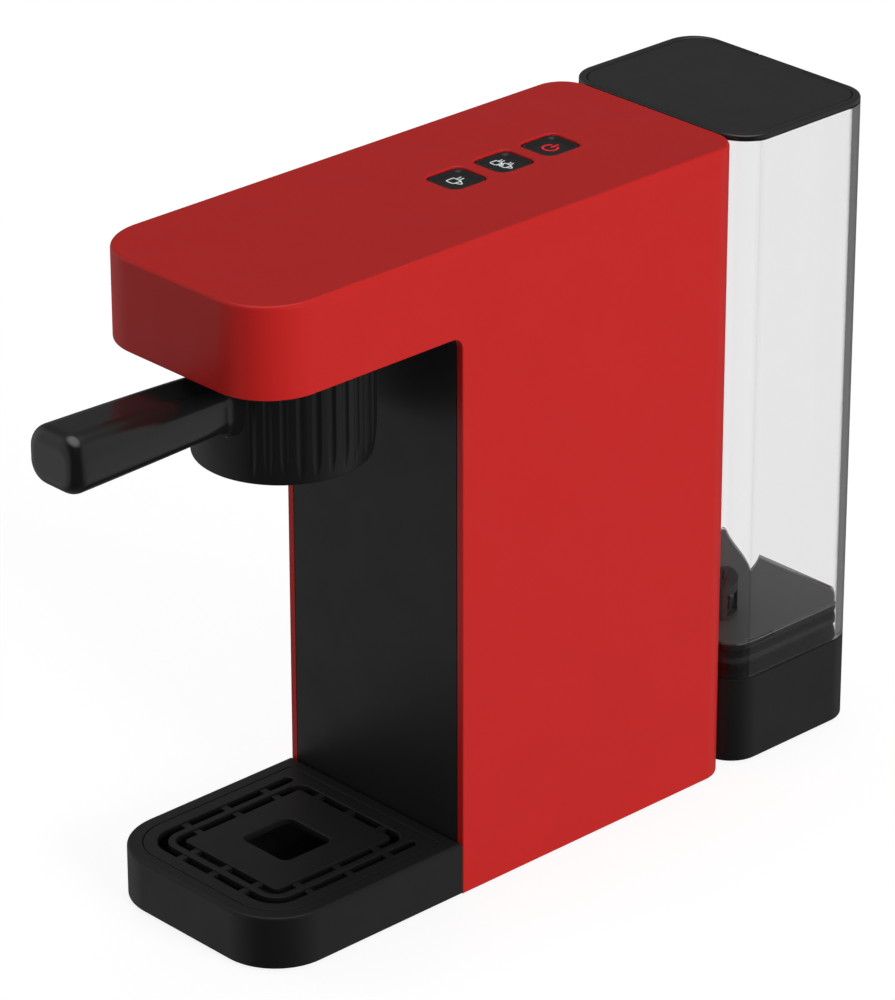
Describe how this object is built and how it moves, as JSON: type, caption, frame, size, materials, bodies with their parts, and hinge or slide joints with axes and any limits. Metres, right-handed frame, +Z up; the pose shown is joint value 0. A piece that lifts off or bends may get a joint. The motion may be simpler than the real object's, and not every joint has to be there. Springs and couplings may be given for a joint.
{
  "type": "espresso machine",
  "caption": "Slim pump espresso machine: C-shaped casing, turn-locking portafilter under the head, drip tray with grate, push buttons on top, clear lift-off water tank behind.",
  "frame": {"origin": "centre of the object's length and width, on the surface its rubber feet stand on", "axes": "+Z up, -Y towards the user along the portafilter's handle, +Y towards the tank, +X to the user's right"},
  "size_m": [0.1, 0.3828, 0.2756],
  "materials": {
    "red_casing": "satin moulded, very fine texture",
    "black_plastic": "fine matt moulded texture",
    "black_satin": "satin",
    "button_black": "satin, printed symbols",
    "tank_rim_black": "gloss",
    "lid_grey": "matt",
    "clear_tank": "clear polished plastic",
    "natural_plastic": "unpigmented",
    "black_rubber": "matt",
    "silicone": "translucent matt",
    "stainless": "brushed",
    "cast_aluminium": "as cast",
    "brass": "turned",
    "circuit_board": "solder mask"
  },
  "bodies": {
    "housing": {"outer_shell": "red_casing", "front_panel": "black_plastic", "head_cover": "black_plastic", "base_plate": "black_plastic", "rear_cover": "black_plastic", "dock_base": "black_plastic", "dock_socket": "black_satin", "pump_coil": "black_satin", "switch_one_cup": "black_satin", "switch_two_cups": "black_satin", "switch_power": "black_satin", "board_bracket": "natural_plastic", "flow_meter": "natural_plastic", "pressure_tube": "natural_plastic", "brew_tube": "natural_plastic", "foot_front_left": "black_rubber", "foot_front_right": "black_rubber", "foot_rear_left": "black_rubber", "foot_rear_right": "black_rubber", "pump_mount_lower": "black_rubber", "pump_mount_upper": "black_rubber", "cord_gland": "black_rubber", "group_gasket": "silicone", "inlet_hose": "silicone", "suction_hose": "silicone", "dock_seal": "silicone", "base_screw_1": "stainless", "base_screw_2": "stainless", "base_screw_3": "stainless", "base_screw_4": "stainless", "shower_screen": "stainless", "shower_screw": "stainless", "thermal_cutout": "stainless", "pump_bracket": "stainless", "group_ring": "cast_aluminium", "group_head": "cast_aluminium", "thermoblock": "cast_aluminium", "pump_core": "brass", "control_board": "circuit_board", "power_board": "circuit_board"},
    "portafilter": {"portafilter_cup": "black_plastic", "portafilter_handle": "black_satin", "handle_bolt": "stainless", "filter_basket": "stainless", "coffee_spout": "black_plastic"},
    "tray": {"drip_tray": "black_plastic"},
    "grate": {"drip_grate": "black_plastic"},
    "key_one_cup": {"button_one_cup": "button_black"},
    "key_two_cups": {"button_two_cups": "button_black"},
    "key_power": {"button_power": "button_black"},
    "tank": {"tank_shell": "clear_tank", "tank_base": "black_plastic", "tank_gasket": "black_rubber", "tank_rim": "tank_rim_black", "valve_cage": "black_plastic", "valve_spring": "stainless"},
    "lid": {"tank_lid": "lid_grey"},
    "valve": {"valve_plunger": "natural_plastic", "valve_seal": "black_rubber"}
  },
  "joints": [
    {"name": "portafilter_turn", "type": "hinge", "parent": "housing", "child": "portafilter", "pos_m": [0, -0.07945, 0.2374], "axis": [0, 0, 1], "range_deg": [-45, 0]},
    {"name": "tray_slide", "type": "slide", "parent": "housing", "child": "tray", "axis": [0, -1, 0], "range_m": [0, 0.105]},
    {"name": "grate_lift", "type": "slide", "parent": "tray", "child": "grate", "axis": [0, 0, 1], "range_m": [0, 0.03]},
    {"name": "one_cup_press", "type": "slide", "parent": "housing", "child": "key_one_cup", "axis": [0, 0, -1], "range_m": [0, 0.001], "stiffness_N_per_m": 2500},
    {"name": "two_cups_press", "type": "slide", "parent": "housing", "child": "key_two_cups", "axis": [0, 0, -1], "range_m": [0, 0.001], "stiffness_N_per_m": 2500},
    {"name": "power_press", "type": "slide", "parent": "housing", "child": "key_power", "axis": [0, 0, -1], "range_m": [0, 0.001], "stiffness_N_per_m": 2500},
    {"name": "tank_lift", "type": "slide", "parent": "housing", "child": "tank", "axis": [0, 0, 1], "range_m": [0, 0.08]},
    {"name": "lid_lift", "type": "slide", "parent": "tank", "child": "lid", "axis": [0, 0, 1], "range_m": [0, 0.03]},
    {"name": "valve_open", "type": "slide", "parent": "tank", "child": "valve", "axis": [0, 0, 1], "range_m": [0, 0.004], "stiffness_N_per_m": 250, "deforming": ["valve_spring"]}
  ]
}
